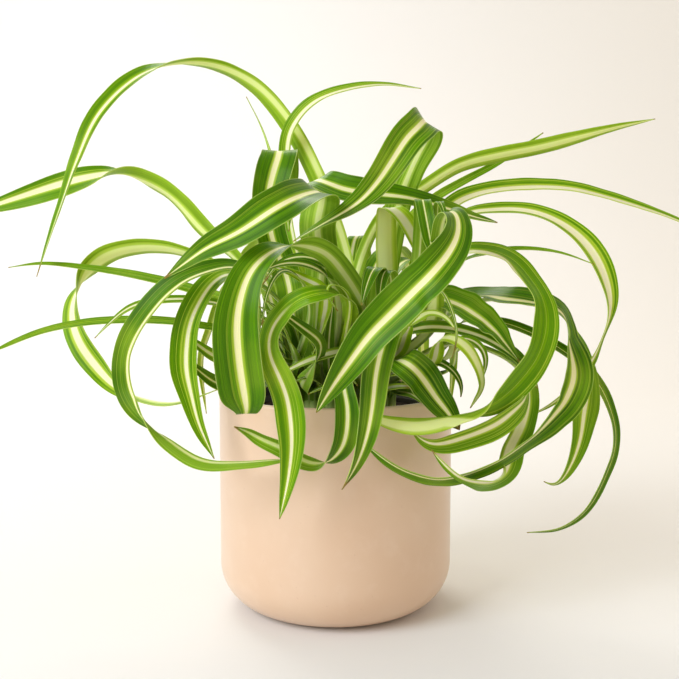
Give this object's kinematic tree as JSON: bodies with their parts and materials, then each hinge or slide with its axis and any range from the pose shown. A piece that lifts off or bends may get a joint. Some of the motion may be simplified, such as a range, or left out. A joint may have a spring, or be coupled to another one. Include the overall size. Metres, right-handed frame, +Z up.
{
  "type": "potted spider plant",
  "caption": "Curly spider plant with long grooved green leaves, each with a cream centre stripe, in a plain straight-sided round pot with a rounded foot.",
  "frame": {"origin": "middle of the flat foot that the pot stands on", "axes": "+Z up along the pot's axis, the pictured front towards -Y, +X to the right as seen from the front"},
  "size_m": [0.4625, 0.2787, 0.3314],
  "materials": {
    "pot": "smooth satin peach",
    "grow_pot": "dark moulded plastic, slightly worn",
    "soil": "dark, crumbly and rough",
    "crown": "pale green, fleshy leaf bases",
    "leaf_light": "light green with a cream centre stripe, satin",
    "leaf_mid": "mid green with a cream centre stripe, satin",
    "leaf_deep": "deep green with a cream centre stripe, glossy satin"
  },
  "bodies": {
    "root": {"pot": "pot", "grow_pot": "grow_pot", "soil": "soil", "crown": "crown", "leaf_high_arch_left": "leaf_light", "leaf_arch_left": "leaf_mid", "leaf_curl_left": "leaf_light", "leaf_thin_left_upper": "leaf_light", "leaf_front_blade_left": "leaf_deep", "leaf_big_loop_left": "leaf_deep", "leaf_hanging_left": "leaf_deep", "leaf_thin_left_lower": "leaf_light", "leaf_small_curl_left": "leaf_mid", "leaf_inner_left_a": "leaf_light", "leaf_inner_left_b": "leaf_mid", "leaf_top_band_right": "leaf_deep", "leaf_big_front_left": "leaf_deep", "leaf_crossing_blade": "leaf_deep", "leaf_upright_fold": "leaf_deep", "leaf_thin_spike": "leaf_light", "leaf_top_thin_right": "leaf_light", "leaf_pale_riser": "leaf_light", "leaf_centre_right_hang": "leaf_light", "leaf_big_front_right": "leaf_deep", "leaf_long_upper_right": "leaf_mid", "leaf_thin_upper_right": "leaf_light", "leaf_arch_right": "leaf_mid", "leaf_big_arch_right": "leaf_mid", "leaf_small_thin_right": "leaf_light", "leaf_big_curl_right": "leaf_deep", "leaf_far_curl_right": "leaf_deep", "leaf_short_hang_right": "leaf_mid", "leaf_long_thin_right": "leaf_mid", "leaf_lower_right_hang": "leaf_mid", "leaf_lower_right_band": "leaf_mid", "leaf_short_broad_right": "leaf_mid", "leaf_dark_arch_right": "leaf_deep", "leaf_wide_dark_right": "leaf_deep", "leaf_thin_front_hang": "leaf_mid", "leaf_pale_arch_right": "leaf_light", "leaf_lime_small_right": "leaf_light", "leaf_pale_short_right": "leaf_light", "leaf_lime_front_hang": "leaf_light", "leaf_front_centre_hang": "leaf_deep", "leaf_front_short_tail": "leaf_deep", "leaf_dark_inner_left": "leaf_deep", "leaf_pale_band_left": "leaf_light", "leaf_dark_arch_inner": "leaf_deep", "leaf_inner_hang_left": "leaf_deep", "leaf_back_right_low": "leaf_deep", "leaf_back_right_wide": "leaf_mid", "leaf_back_right_short": "leaf_mid", "leaf_back_long": "leaf_deep", "leaf_back_centre": "leaf_mid", "leaf_back_left_wide": "leaf_deep", "leaf_back_left_short": "leaf_light", "leaf_back_left_low": "leaf_mid", "leaf_back_inner_right": "leaf_light", "leaf_back_inner_left": "leaf_mid"}
  },
  "joints": []
}
